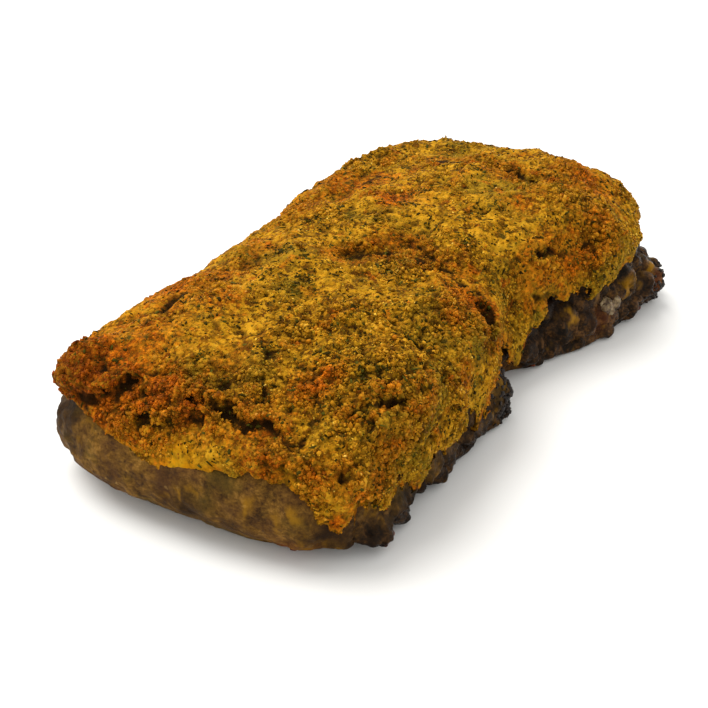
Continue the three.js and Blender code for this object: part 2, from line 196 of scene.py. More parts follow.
# Noises: each adds up layers of a strength, the size of its lumps in mm, and a seed.
NOISES = {
    "browned patches": [(1, 24, 41), (0.6, 8, 43)],
    "browned specks": [(1, 4.5, 49), (0.4, 20, 50)],
    "leafy patches": [(1, 20, 59), (0.5, 6, 61)],
    "cracks": [(1, 17, 74), (0.5, 8, 75)],
    "crumbly patches": [(1, 17, 87), (0.6, 7, 88)],
    "crust swell": [(1.3, 15, 163), (0.6, 8, 167)],
    "crust edge": [(2.4, 9, 173), (1.6, 4, 179)],
    "beef": [(0.8, 7.0, 103), (0.5, 3.0, 107)],
    "blob": [(0.9, 2.6, 0), (0.4, 1.2, 1)],
}
# Wobbles make what is measured from a place ragged: each step moves by so many mm, in lumps of a size,
# with a seed.
WOBBLES = {
    "colour": [(4.0, 7.0, 31), (1.6, 2.6, 37)],
    "cleft": [(3.2, 9.0, 67), (1.1, 2.6, 71)],
    "grain": [(2.4, 7.0, 79), (1.1, 2.8, 81)],
    "fringe": [(3.0, 8.0, 113)],
    "smear": [(1.4, 3.0, 137)],
    "beef colour": [(3.4, 6.0, 139), (1.8, 2.4, 149)],
    "leaf clump": [(1.5, 3, 313)],
}

COARSER = 1.25  # the crust's body is shaped on a mesh this much coarser than its grain
CORE = ([-125, -45, 10], [130, 45, 25])  # a block inside the joint: out is away from it
UPHILL = [0.5, 0, 0.87]  # up the near end
RUN_DOWN = [1, 1, 0.55]  # what has run down is this much longer in height
FIBRES = [1, 0.4, 1.2]  # the beef's fibres run across the joint
DRAPED = [1, 1, 0.4]  # the crust hangs down in tongues, longer than wide
STREAKED = [1, 1, 0.3]  # herbs are streaked down the sides
# The least crust, in mm, that is left under a cleft and under the grain, and that holds a crumb.
LEAST_CRUST = {"cleft": 2.3, "grain": 1.7, "crumb": 1.1}

# The paste's colours, from a gap to a crest, and its specks: size in metres, how rare, and colour.
PASTE_TONES = [(0.26, "#4c2c04"), (0.74, "#c4901f"), (0.37, "#704a08"), (0.48, "#9c6f0e"), (0.6, "#b68317")]
HERB_SPECKS = [(0.0017, 0.66, "#4c3307"), (0.0030, 0.80, "#3a2904"), (0.0040, 0.84, "#39340f")]

# ---- Noise ----
def hump(distance, reach):
    """1 at a place, falling softly to nothing beyond its reach."""
    return np.exp(-0.5 * (distance / reach) ** 2)


def smooth(value, low, high):
    """From 0 at the low value to 1 at the high one, without a corner."""
    t = np.clip((value - low) / (high - low), 0, 1)
    return t * t * (3 - 2 * t)


def hashed(cell, seed):
    """A repeatable value from 0 to 1 for each whole-numbered place."""
    i, j, k = (cell[..., a].astype(np.int64).astype(np.uint32) for a in range(3))
    h = i * np.uint32(73856093) ^ j * np.uint32(19349663) ^ k * np.uint32(83492791)
    h = (h ^ np.uint32(seed * 40503 + 17)) * np.uint32(2246822519)
    h = (h ^ (h >> np.uint32(15))) * np.uint32(3266489917)
    h = h ^ (h >> np.uint32(13))
    return (h & np.uint32(0xFFFFFF)) / float(0x1000000)


def noise(points, size, seed):
    """Smooth noise from -1 to 1, in lumps of the given size; each seed gives other noise."""
    q = points / size + seed * 7.31
    cell = np.floor(q)
    t = q - cell
    t = t * t * (3 - 2 * t)
    total = np.zeros(len(points))
    for corner in np.ndindex(2, 2, 2):
        share = np.prod(np.where(corner, t, 1 - t), axis=1)
        total += share * hashed(cell + corner, seed)
    return 2 * total - 1


def lumps(points, size, seed):
    """Cells round scattered middles: how far the nearest middle is, in sizes, how much further the
    next one is, and the nearest's own value."""
    q = points / size + seed * 3.17
    cell = np.floor(q)
    nearest, second = np.full((2, len(points)), 9.0)
    own = np.zeros(len(points))
    for step in np.ndindex(3, 3, 3):
        here = cell + np.array(step) - 1
        middle = here + np.stack([hashed(here, seed + a) for a in (1, 2, 3)], axis=1)
        away = length(q - middle)
        closer = away < nearest
        second = np.where(closer, nearest, np.minimum(second, away))
        nearest = np.where(closer, away, nearest)
        own = np.where(closer, hashed(here, seed + 4), own)
    return nearest, second - nearest, own


def layered(points, name, seed=0):
    """One of the noises, all its layers added up."""
    return sum(strength * noise(points, size, own + seed) for strength, size, own in NOISES[name])


def wobbled(points, name):
    """The points moved about, so that what is measured from them has ragged edges."""
    for by, size, seed in WOBBLES[name]:
        points = points + by * np.stack([noise(points, size, seed + a) for a in range(3)], axis=1)
    return points


def length(vectors, **options):
    """How long each vector of a list is."""
    return np.linalg.norm(vectors, axis=1, **options)


def at_places(points, places):
    """How strongly a list of places tells at each point: the strongest counts."""
    told = np.zeros(len(points))
    for *place, reach, strength in places:
        told = np.maximum(told, strength * hump(length(points - place), reach))
    return told


def add_lobes(total, points, places):
    """Adds to a total how far a list of places rises at each point."""
    for *place, reach, rise in places:
        total += rise * hump(length(points - place), reach)


def outward(points):
    """The direction out of the joint at each point, as from the nearest place in its core."""
    out = points - np.clip(points, *CORE)
    return out / np.maximum(length(out, keepdims=True), 1e-6)


def along_surface(offset, out):
    """An offset without most of its part that goes outwards."""
    return offset - 0.85 * (offset * out).sum(axis=1, keepdims=True) * out


def from_line(points, out, route):
    """How far each point is from a route of straight stretches, measured along the surface, and how
    far above the route it is."""
    nearest, above = np.full(len(points), 1e9), np.zeros(len(points))
    for start, end in zip(np.array(route[:-1], float), np.array(route[1:], float)):
        along = end - start
        share = np.clip((points - start) @ along / (along @ along), 0, 1)
        offset = along_surface(points - start - share[:, None] * along, out)
        away = length(offset)
        above = np.where(away < nearest, offset @ UPHILL, above)
        nearest = np.minimum(nearest, away)
    return nearest, above


# ---- Making pieces ----
def only(piece):
    """Selects one object and makes it active."""
    bpy.ops.object.select_all(action="DESELECT")
    piece.select_set(True)
    bpy.context.view_layer.objects.active = piece


def copy_of_node(name, node):
    """A new piece with a node's shape, its loose triangles merged."""
    piece = bpy.data.objects.new(name, frame["nodes"][node].data.copy())
    piece.data.name = name
    piece.data.materials.clear()
    bpy.context.scene.collection.objects.link(piece)
    only(piece)
    bpy.ops.object.mode_set(mode="EDIT")
    bpy.ops.mesh.select_all(action="SELECT")
    bpy.ops.mesh.remove_doubles(threshold=1e-6)
    bpy.ops.object.mode_set(mode="OBJECT")
    return piece


def finish_with(piece, kind, **settings):
    """Adds a modifier and applies it."""
    only(piece)
    modifier = piece.modifiers.new(kind.lower(), kind)
    for name, value in settings.items():
        setattr(modifier, name, value)
    bpy.ops.object.modifier_apply(modifier=modifier.name)


def read(items, name, width=1, kind=np.float32):
    """One value, or a vector of a width, for each item."""
    values = np.zeros(len(items) * width, kind)
    items.foreach_get(name, values)
    return values.reshape(-1, width) if width > 1 else values


def points_of(piece):
    return read(piece.data.vertices, "co", 3, float) / MM


def normals_of(piece):
    return read(piece.data.vertex_normals, "vector", 3).astype(float)


def put_points(piece, points):
    piece.data.vertices.foreach_set("co", (points * MM).astype(np.float32).ravel())
    piece.data.update()


def weigh(piece, name, weights):
    """A vertex group with a weight for each point."""
    old = piece.vertex_groups.get(name)
    if old:
        piece.vertex_groups.remove(old)
    group = piece.vertex_groups.new(name=name)
    for i in np.flatnonzero(weights > 1e-4):
        group.add([int(i)], float(weights[i]), "REPLACE")
    return name


def thin_out(piece, most, hidden):
    """Brings a piece down to a number of triangles, and takes them first where it is hidden."""
    count = 2 * len(piece.data.polygons)
    if count > most:
        group = weigh(piece, "hidden", hidden)
        finish_with(piece, "DECIMATE", ratio=most / count, vertex_group=group, vertex_group_factor=10.0)


def keep_main_part(piece):
    """Deletes whatever isn't joined to the highest point."""
    highest = int(points_of(piece)[:, 2].argmax())
    only(piece)
    for kind in (piece.data.polygons, piece.data.edges, piece.data.vertices):
        kind.foreach_set("select", np.zeros(len(kind), bool))
    piece.data.vertices[highest].select = True
    bpy.ops.object.mode_set(mode="EDIT")
    bpy.ops.mesh.select_mode(type="VERT")
    bpy.ops.mesh.select_linked()
    bpy.ops.mesh.select_all(action="INVERT")
    bpy.ops.mesh.delete(type="VERT")
    bpy.ops.object.mode_set(mode="OBJECT")


def raise_by(piece, heights, direction="NORMAL"):
    """Moves the surface by a height in mm for each point, up or down along its normals or an axis."""
    for name, part in (("raised", np.maximum(heights, 0)), ("sunk", np.minimum(heights, 0))):
        furthest = np.abs(part).max()
        if furthest > 1e-6:
            group = weigh(piece, name, np.abs(part) / furthest)
            strength = math.copysign(furthest * MM, part.sum())
            finish_with(piece, "DISPLACE", vertex_group=group, mid_level=0.0, strength=strength,
                        direction=direction)
            piece.vertex_groups.remove(piece.vertex_groups[group])


def away_from(points, surface):
    """The distance from each point to the nearest place on a surface."""
    return np.array([surface.find_nearest(p)[3] for p in (points * MM)]) / MM


def hollow_of(piece, rounds):
    """How far each point lies below its surroundings, in mm: these are averaged over some rounds."""
    points = points_of(piece)
    one, other = read(piece.data.edges, "vertices", 2, np.int32).T
    to, via = np.concatenate([one, other]), np.concatenate([other, one])
    met = np.maximum(np.bincount(to, minlength=len(points)), 1)
    even = points.copy()
    for _ in range(rounds):
        met_sum = np.stack([np.bincount(to, even[via, a], len(points)) for a in range(3)], axis=1)
        even = 0.5 * even + 0.5 * met_sum / met[:, None]
    return ((even - points) * normals_of(piece)).sum(axis=1)


def node_surface(node):
    mesh = frame["nodes"][node].data
    return BVHTree.FromPolygons([v.co for v in mesh.vertices], [p.vertices for p in mesh.polygons])


def paint(piece, name, values):
    """Stores a value for each point, which a material reads by name."""
    attribute = piece.data.attributes.new(name, "FLOAT", "POINT")
    attribute.data.foreach_set("value", np.asarray(values, np.float32))


def smooth_shaded(piece):
    piece.data.polygons.foreach_set("use_smooth", np.ones(len(piece.data.polygons), bool))
    piece.data.update()


def hand_over(piece, node, material):
    """Gives a finished piece its material, attaches it to the body it rides on and hides the node it stands
    for.
    """
    piece.data.materials.clear()
    piece.data.materials.append(material)
    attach(piece, "root")
    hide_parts(node)


# ---- What the crust is like at a place ----
def crust_feel(points, normals):
    """How browned, leafy and glazed the crust is at each point, from 0 to 1."""
    ragged = wobbled(points, "colour")
    browned = at_places(ragged, BROWNED)
    left_side = smooth(normals[:, 1], 0.25, 0.8)
    patchy = smooth(layered(points, "browned patches"), 0.15, 0.9)
    browned = np.maximum(browned, 0.75 * left_side * (0.45 + 0.55 * patchy))
    browned = np.maximum(browned, 0.36 * patchy * smooth(noise(points, 11, 47), -0.1, 0.6))
    browned = np.maximum(browned, 0.6 * smooth(layered(points, "browned specks"), 0.55, 0.9))
    out = outward(points)
    for _, _, half, _, route in CLEFTS:
        away, _ = from_line(ragged, out, route)
        browned = np.maximum(browned, 0.5 * hump(away - 2.4 * half, half))
    right_side = smooth(-normals[:, 1], 0.35, 0.85)
    streaks = noise(points * STREAKED, 4.5, 53)
    leafy = smooth(layered(points, "leafy patches"), -0.1, 0.9)
    leafy = np.clip(0.75 * leafy + 0.55 * right_side * smooth(streaks, -0.3, 0.7), 0, 1)
    return {"browned": browned, "leafy": leafy * (1 - browned), "glazed": at_places(ragged, GLAZED)}


def crust_cleft(points):
    """How deep the clefts bite at each point, in mm, and how strongly painted shade darkens it near their
    bottoms and in pits.
    """
    out = outward(points)
    ragged = wobbled(points, "cleft")
    ends = np.clip(0.95 + 0.75 * noise(points, 9, 73), 0.25, 1.4)
    crack = hump(layered(ragged, "cracks"), 0.09) * smooth(noise(points, 22, 76), 0.05, 0.4)
    crack *= crumbly_at(points)
    # dark is painted shade, strongest at the bottoms of clefts, cracks and pits.
    depth, dark, lip = 2.2 * crack, 0.75 * crack, np.zeros(len(points))
    for _, deep, half, rise, route in CLEFTS:
        away, above = from_line(ragged, out, route)
        depth = np.maximum(depth, deep * ends * hump(away, half * 0.85))
        dark = np.maximum(dark, ends * hump(away, half * 0.8))
        lip = np.maximum(lip, rise * hump(away - 2.1 * half, half) * smooth(above, -0.5, 1.5))
    lip *= smooth(-points[:, 1], -68, -56)
    for *place, reach in PITS:
        pit = hump(length(along_surface(ragged - place, out)), reach * 0.6)
        depth = np.maximum(depth, 2.6 * pit)
        dark = np.maximum(dark, 0.85 * pit)
    return depth - lip, smooth(dark, 0.3, 0.85)


def crumbly_at(points):
    """Where the crust is loose and crumbly, from 0 to 1; elsewhere it is closed paste."""
    loose = smooth(layered(points, "crumbly patches"), -0.3, 0.7)
    return np.clip(0.4 * loose + 0.8 * at_places(points, CRUMBLY), 0, 1)


def crust_grain(points, calm):
    """The crust's crumble in mm: clumps with gaps between them, crags on the clumps, and pits. Also
    how far each point is down in a gap, from 0 to 1, which is painted as shade."""
    ragged = wobbled(points, "grain")
    clump, clump_gap, clump_own = lumps(ragged, 9.5, 83)
    crag, crag_gap, crag_own = lumps(ragged, 4.3, 89)
    pit, _, pit_own = lumps(ragged, 6.0, 97)
    crumbly = crumbly_at(points)
    between = (0.25 + 0.75 * crumbly) * np.exp(-clump_gap / 0.13)
    cracks = (0.3 + 0.7 * crumbly) * np.exp(-crag_gap / 0.24)
    height = 1.5 * (0.5 - clump) * (0.3 + 0.9 * clump_own) * (0.55 + 0.85 * crumbly) - 1.8 * between
    height += 2.2 * (0.45 - crag) * (0.2 + crag_own) * (0.4 + 0.75 * crumbly) - 1.3 * cracks
    height += (0.35 + 0.35 * crumbly) * noise(points, 2.4, 101) + 1.1 * (crumbly - 0.4)
    pitted = (pit_own < 0.12) * smooth(pit, 0.38, 0.1) * (0.5 + 0.5 * crumbly)
    gap_shade = np.clip(0.85 * between + 0.8 * smooth(cracks, 0.3, 0.9) + pitted, 0, 1)
    return (height * (1 - 0.85 * calm) - 2.4 * pitted * (1 - calm), gap_shade * (1 - 0.9 * calm))


# ---- Materials ----
def linear(colour, alpha=1.0):
    """A hex colour in sRGB, turned to linear."""
    values = [int(colour[i : i + 2], 16) / 255 for i in (1, 3, 5)]
    return (*[v / 12.92 if v <= 0.04045 else ((v + 0.055) / 1.055) ** 2.4 for v in values], alpha)


def new_material(name):
    """A material without nodes, and the function that adds a node to it."""
    material = bpy.data.materials.new(name)
    material.use_nodes = True
    tree = material.node_tree
    tree.nodes.clear()

    def node(kind, inputs=(), stops=(), out=None, **settings):
        """Adds a node with its settings, its inputs (an output to link, a hex colour or a number) and,
        on a colour ramp, its stops. Returns the output that is named, or its first one."""
        made = tree.nodes.new("ShaderNode" + kind)
        for name, value in settings.items():
            setattr(made, name, value)
        for socket, value in dict(inputs).items():
            if isinstance(value, bpy.types.NodeSocket):
                tree.links.new(value, made.inputs[socket])
            else:
                made.inputs[socket].default_value = linear(value) if isinstance(value, str) else value
        for i, (place, colour) in enumerate(stops):
            stop = made.color_ramp.elements[i] if i < 2 else made.color_ramp.elements.new(place)
            stop.position = place
            stop.color = linear(colour)
        return made.outputs[out] if out else next((o for o in made.outputs if o.enabled), None)

    return material, node


def granules(node, place, size):
    """Cells with ragged borders, of a size in metres: a Voronoi node with its coordinates disturbed.
    Returns how far the nearest cell's middle is, and the cell's own value."""
    wander = node("TexNoise", {"Vector": place, "Scale": 0.7 / size, "Detail": 3, "Roughness": 0.6},
                  out="Color")
    moved = node("VectorMath", {0: wander, 1: (1.7 * size,) * 3, 2: place}, operation="MULTIPLY_ADD")
    away = node("TexVoronoi", {"Vector": moved, "Scale": 1 / size}, out="Distance")
    return away, away.node.outputs["Color"]


def shader(node, colour, roughness, bump=None, subsurface=0.0, specular=0.02):
    """The surface itself, on the material's output. Light travels about 1.5 mm under food's surface,
    red light furthest."""
    look = {"Base Color": colour, "Roughness": roughness, "IOR": 1.45, "Subsurface Weight": subsurface,
            "Subsurface Radius": (1, 0.4, 0.15), "Subsurface Scale": 0.0015, "Specular IOR Level": specular}
    if bump is not None:
        look["Normal"] = bump
    node("OutputMaterial", {"Surface": node("BsdfPrincipled", look)})


def crust_colours(node, place, tones, tone):
    """Ochre paste in patches, browned and greened where it is painted so; the crumbs share it."""
    patches = node("TexNoise", {"Vector": place, "Scale": 1 / 0.014, "Detail": 5, "Roughness": 0.6})
    grains = node("TexNoise", {"Vector": place, "Scale": 1 / 0.0022, "Detail": 4, "Roughness": 0.7})
    spread = node("Math", {0: patches, 1: 0.7}, operation="MULTIPLY")
    finer = node("Math", {0: grains, 1: 0.55, 2: spread}, operation="MULTIPLY_ADD")
    where = node("Math", {0: tone, 1: 0.5, 2: finer}, operation="MULTIPLY_ADD")
    centred = node("Math", {0: where, 1: 0.375}, operation="SUBTRACT")
    paste = node("ValToRGB", {"Fac": centred}, tones)
    leafy, browned = (node("Attribute", out="Fac", attribute_name=name) for name in ("leafy", "browned"))
    green = node("Math", {0: leafy, 1: 0.68}, operation="MULTIPLY")
    uneven = node("Math", {0: browned, 1: grains}, operation="ADD")
    brown = node("MapRange", {0: uneven, 1: 0.5, 2: 1.35, 4: 0.92})
    toasted = node("ValToRGB", {"Fac": grains}, [(0.34, "#3c1604"), (0.66, "#d4700c"), (0.5, "#964406")])
    scorched = node("MapRange", {0: browned, 1: 0.85, 2: 1.5, 4: 0.62})
    for told, colour in (green, "#665c15"), (brown, toasted), (scorched, "#4c1f06"):
        paste = node("Mix", {0: told, 6: paste, 7: colour}, data_type="RGBA")
    return paste


def baked_crust_material():
    """Baked mustard paste full of crumbs: granular, so every grain has its own ochre with painted shade in
    the gap round it, and dark specks of herb lie among them. Painted shade darkens its hollows and a
    painted highlight lightens its crests."""
    material, node = new_material("baked_mustard_paste")
    place = node("TexCoord", out="Object")
    away, own = granules(node, place, 0.0027)
    paste = crust_colours(node, place, PASTE_TONES, own)
    glazed, crest, crumbly, hollow_shade = (node("Attribute", out="Fac", attribute_name=name)
                                      for name in ("glazed", "crest", "crumbly", "hollow_shade"))
    open_here = node("Math", {0: 1.0, 1: glazed}, operation="SUBTRACT")
    # A painted highlight lightens the crests.
    crest_highlight = node("Math", {0: crest, 1: 0.35}, operation="MULTIPLY")
    # Painted shade at the edge of each grain, where the paste is loose.
    edge = node("MapRange", {0: away, 1: 0.42, 2: 0.74, 4: 0.85})
    patchy = node("TexNoise", {"Vector": place, "Scale": 1 / 0.006, "Detail": 3})
    broken = node("Math", {0: crumbly, 1: patchy}, operation="ADD")
    loose = node("MapRange", {0: broken, 1: 0.5, 2: 1.15, 3: 0.12})
    grain_edge_shade = node("Math", {0: edge, 1: loose}, operation="MULTIPLY")
    melted = node("ValToRGB", {"Fac": patchy}, [(0.38, "#76600f"), (0.64, "#cc8808"), (0.5, "#ae7e0c")])
    for told, colour in (crest_highlight, "#be8e20"), (grain_edge_shade, "#472904"), (glazed, melted):
        paste = node("Mix", {0: told, 6: paste, 7: colour}, data_type="RGBA")
    for size, rare, colour in HERB_SPECKS:
        near, value = granules(node, place, size)
        chosen = node("MapRange", {0: value, 1: rare, 2: rare + 0.05, 4: 0.85})
        close = node("MapRange", {0: near, 1: 0.6, 2: 0.3})
        shown = node("Math", {0: chosen, 1: close}, operation="MULTIPLY")
        fleck = node("Math", {0: shown, 1: open_here}, operation="MULTIPLY")
        paste = node("Mix", {0: fleck, 6: paste, 7: colour}, data_type="RGBA")
    # Painted shade, near black, where the crust is hollow.
    sunk = node("Mix", {0: hollow_shade, 6: paste, 7: "#1b0f03"}, data_type="RGBA")
    fine = node("TexNoise", {"Vector": place, "Scale": 1 / 0.0009, "Detail": 3})
    deep = node("Math", {0: loose, 1: -1.3}, operation="MULTIPLY")
    domes = node("Math", {0: away, 1: deep, 2: fine}, operation="MULTIPLY_ADD")
    height = node("Math", {0: domes, 1: open_here}, operation="MULTIPLY")
    bump = node("Bump", {"Height": height, "Distance": 0.0012, "Strength": 0.7})
    rough = node("MapRange", {0: glazed, 3: 0.62, 4: 0.4})
    shader(node, sunk, rough, bump, subsurface=0.06)
    return material


def crumb_material(name, tones):
    """Toasted breadcrumb soaked in dripping: translucent at its edges, and it catches small lights. Painted
    shade darkens it where it lies in a hollow.
    """
    material, node = new_material(name)
    place = node("TexCoord", out="Object")
    tone, hollow_shade = (node("Attribute", out="Fac", attribute_name=name) for name in ("tone", "hollow_shade"))
    crumb = crust_colours(node, place, tones, tone)
    grain = node("TexNoise", {"Vector": place, "Scale": 1 / 0.0006, "Detail": 2})
    bump = node("Bump", {"Height": grain, "Distance": 0.0003, "Strength": 0.5})
    # Painted shade: darker where the crumb lies in a hollow of the crust.
    sunk = node("Mix", {0: hollow_shade, 6: crumb, 7: "#2c1804"}, data_type="RGBA")
    shader(node, sunk, 0.45, bump, subsurface=0.06, specular=0.03)
    return material


def herb_material():
    """Parsley and thyme dried in the oven: dull and almost black-green, with olive edges."""
    material, node = new_material("oven_dried_herb")
    tone = node("Attribute", out="Fac", attribute_name="tone")
    leaf = node("ValToRGB", {"Fac": tone},
                [(0.0, "#1e1604"), (1.0, "#626020"), (0.5, "#332d09"), (0.8, "#474512")])
    place = node("TexCoord", out="Object")
    veins = node("TexNoise", {"Vector": place, "Scale": 1 / 0.0005, "Detail": 2})
    mottled = node("Mix", {0: veins, 6: leaf, 7: "#2e2206"}, data_type="RGBA")
    shader(node, mottled, 0.55, node("Bump", {"Height": veins, "Distance": 0.0002, "Strength": 0.5}))
    return material


def beef_material():
    """Roasted beef: matte brown muscle with a fine fibrous mottle, wetter and darker at its foot, with
    painted shade in its folds and painted shadow under the crust's lip.
    """
    material, node = new_material("roasted_beef_surface")
    place = node("TexCoord", out="Object")
    broad = node("TexNoise", {"Vector": place, "Scale": 1 / 0.009, "Detail": 8, "Roughness": 0.72})
    along = node("Mapping", {"Vector": place, "Rotation": (0.5, 0.2, 0.4), "Scale": (1, 0.75, 1.1)})
    fibres = node("TexNoise", {"Vector": along, "Scale": 1 / 0.0018, "Detail": 5, "Roughness": 0.8,
                               "Distortion": 0.15})
    some = node("Math", {0: broad, 1: 0.58}, operation="MULTIPLY")
    tone = node("Math", {0: fibres, 1: 0.42, 2: some}, operation="MULTIPLY_ADD")
    beef = node("ValToRGB", {"Fac": tone},
                [(0.4, "#301f0c"), (0.61, "#855f28"), (0.47, "#4f3513"), (0.53, "#644619")])
    tint = node("TexNoise", {"Vector": place, "Scale": 1 / 0.02, "Detail": 3})
    purple = node("MapRange", {0: tint, 1: 0.5, 2: 0.68, 4: 0.6})
    olive = node("MapRange", {0: tint, 1: 0.48, 2: 0.34, 4: 0.4})
    _, own = granules(node, place, 0.0014)
    pale = node("MapRange", {0: own, 1: 0.93, 2: 0.98, 4: 0.5})
    deep = node("MapRange", {0: own, 1: 0.2, 2: 0.08, 4: 0.45})
    charred = node("ValToRGB", {"Fac": tone}, [(0.42, "#0c0804"), (0.6, "#5e3f1e"), (0.5, "#281a0c")])
    seared, dark, red, smeared = (node("Attribute", out="Fac", attribute_name=name)
                                  for name in ("seared", "dark", "red", "smeared"))
    # dark mixes the beef's darker places with painted shade in its folds and painted shadow under the
    # crust's lip.
    for told, colour in ((purple, "#4a2e1a"), (olive, "#564814"), (pale, "#b08a4c"), (deep, "#21140c"),
                         (seared, charred), (dark, "#160c06"), (red, "#74340e"), (smeared, "#9a6c0c")):
        beef = node("Mix", {0: told, 6: beef, 7: colour}, data_type="RGBA")
    rough = node("MapRange", {0: seared, 3: 0.6, 4: 0.22})
    bump = node("Bump", {"Height": fibres, "Distance": 0.0007, "Strength": 0.55})
    shader(node, beef, rough, bump, subsurface=0.02, specular=0.06)
    return material


def glossy_material(name, tones, size, roughness, subsurface):
    """Something that melted and set on the joint: smooth, with a wet shine."""
    material, node = new_material(name)
    place = node("TexCoord", out="Object")
    cloud = node("TexNoise", {"Vector": place, "Scale": 1 / size, "Detail": 4, "Roughness": 0.6})
    bump = node("Bump", {"Height": cloud, "Distance": 0.0005, "Strength": 0.5})
    shader(node, node("ValToRGB", {"Fac": cloud}, tones), roughness, bump, subsurface, specular=0.25)
    return material


def floor_material():
    """A matte painted board: pale, with the faintest cloud in it."""
    material, node = new_material("matte_pale_board")
    place = node("TexCoord", out="Object")
    cloud = node("TexNoise", {"Vector": place, "Scale": 3.0, "Detail": 2})
    shader(node, node("ValToRGB", {"Fac": cloud}, [(0.3, "#dededd"), (0.7, "#e2e2e1")]), 0.7)
    return material


# ---- Scattered things ----
def ball(subdivisions):
    """The points and triangles of one small ball, 1 mm in radius."""
    bpy.ops.object.select_all(action="DESELECT")
    bpy.ops.mesh.primitive_ico_sphere_add(subdivisions=subdivisions, radius=MM)
    made = bpy.context.object
    points = points_of(made)
    triangles = np.array([p.vertices[:] for p in made.data.polygons])
    mesh = made.data
    bpy.data.objects.remove(made)
    bpy.data.meshes.remove(mesh)
    return points, triangles


def mesh_piece(name, points, triangles):
    """One object from arrays of points in mm and triangles."""
    mesh = bpy.data.meshes.new(name)
    mesh.vertices.add(len(points))
    mesh.loops.add(triangles.size)
    mesh.polygons.add(len(triangles))
    mesh.vertices.foreach_set("co", (points * MM).astype(np.float32).ravel())
    mesh.loops.foreach_set("vertex_index", triangles.astype(np.int32).ravel())
    mesh.polygons.foreach_set("loop_start", np.arange(0, triangles.size, 3, dtype=np.int32))
    mesh.update(calc_edges=True)
    piece = bpy.data.objects.new(name, mesh)
    bpy.context.scene.collection.objects.link(piece)
    return piece


def surface_of(piece):
    """The triangles of a piece as corner points, corner normals and the painted hollow shade at the
    corners.
    """
    mesh = piece.data
    mesh.calc_loop_triangles()
    corners = read(mesh.loop_triangles, "vertices", 3, np.int32)
    hollow_shade = np.zeros(len(mesh.vertices), np.float32)
    if "hollow_shade" in mesh.attributes:
        hollow_shade = read(mesh.attributes["hollow_shade"].data, "value")
    return points_of(piece)[corners], normals_of(piece)[corners], hollow_shade[corners]


def open_crust():
    """The crust's surface, but for where it is too thin to hold a crumb."""
    surface = surface_of(bpy.data.objects["mustard_herb_crust"])
    thick = away_from(surface[0].mean(axis=1), node_surface("beef_joint"))
    return [values[thick > LEAST_CRUST["crumb"]] for values in surface]


def scattered_on(surface, count, density, draw):
    """Places, normals and hollow shade spread over a surface, by area and the density at each triangle."""
    corners, normals, hollows = surface
    middle, facing = corners.mean(axis=1), normals.mean(axis=1)
    area = length(np.cross(corners[:, 1] - corners[:, 0], corners[:, 2] - corners[:, 0]))
    share = np.cumsum(area * density(middle, facing, hollows.mean(axis=1)))
    chosen = np.searchsorted(share, draw.random(count) * share[-1])
    a, b = draw.random((2, count, 1))
    a, b = np.where(a + b > 1, 1 - a, a), np.where(a + b > 1, 1 - b, b)
    mix = lambda c: c[chosen, 0] * (1 - a - b) + c[chosen, 1] * a + c[chosen, 2] * b
    facing = mix(normals)
    facing /= length(facing, keepdims=True)
    return mix(corners), facing, hollows[chosen].mean(axis=1)


def turned(draw, count):
    """Random turns, as one matrix for each thing."""
    q = draw.normal(size=(count, 4))
    w, x, y, z = (q / length(q, keepdims=True)).T
    return np.stack([
        1 - 2 * (y * y + z * z), 2 * (x * y - z * w), 2 * (x * z + y * w),
        2 * (x * y + z * w), 1 - 2 * (x * x + z * z), 2 * (y * z - x * w),
        2 * (x * z - y * w), 2 * (y * z + x * w), 1 - 2 * (x * x + y * y)], axis=1).reshape(-1, 3, 3)


def lying(draw, normals):
    """Turns that lay a thing's Z along the normals, each at a random heading, tipped a little."""
    n = normals + draw.normal(size=normals.shape) * 0.25
    n /= length(n, keepdims=True)
    side = np.cross(n, draw.normal(size=n.shape))
    side /= length(side, keepdims=True)
    return np.stack([side, np.cross(n, side), n], axis=2)


def bits(name, shape, spread, sizes, forms, turns, sunk, rough, draw):
    """One piece made of a small thing copied to many places, each copy uneven in its own way.

    sizes are radii in mm, forms the stretch of each along its three axes, and sunk is how far each
    middle lies under the surface, in radii.
    """
    points, triangles = shape
    places, normals, hollows = spread
    count = len(places)
    own = points[None] * (1 + rough * (draw.random((count, len(points), 1)) - 0.5))
    own = own * forms[:, None] * sizes[:, None, None]
    own = np.einsum("nij,nkj->nki", turns, own)
    own += (places - normals * (sunk * sizes)[:, None])[:, None]
    joined = triangles[None] + (np.arange(count) * len(points))[:, None, None]
    piece = mesh_piece(name, own.reshape(-1, 3), joined.reshape(-1, 3))
    tone = np.repeat(draw.random(count), len(points))
    paint(piece, "tone", tone)
    feel = crust_feel(places, normals)
    for key in ("browned", "leafy"):
        paint(piece, key, np.repeat(feel[key], len(points)))
    # Each crumb takes on some of the painted hollow shade where it lies.
    paint(piece, "hollow_shade", np.repeat(hollows * 0.8, len(points)))
    return piece


# ---- Sizes and colours that a user would change ----
class RoastCrustSettings(bpy.types.PropertyGroup):
    """How the crust is made"""

    voxel: FloatProperty(
        name="Fineness", description="Size of the squares of the crust's mesh", default=0.00132,
        unit="LENGTH")
    triangles: IntProperty(
        name="Triangles", description="Most triangles in the crust's mesh", default=192000)
    grain: FloatProperty(
        name="Grain", description="How strongly the crust's clumps stand out", default=1.0,
        subtype="FACTOR")


class RoastBeefSettings(bpy.types.PropertyGroup):
    """How the beef is made"""

    voxel: FloatProperty(
        name="Fineness", description="Size of the squares of the beef's mesh", default=0.0014,
        unit="LENGTH")
    triangles: IntProperty(
        name="Triangles", description="Most triangles in the beef's mesh", default=180000)


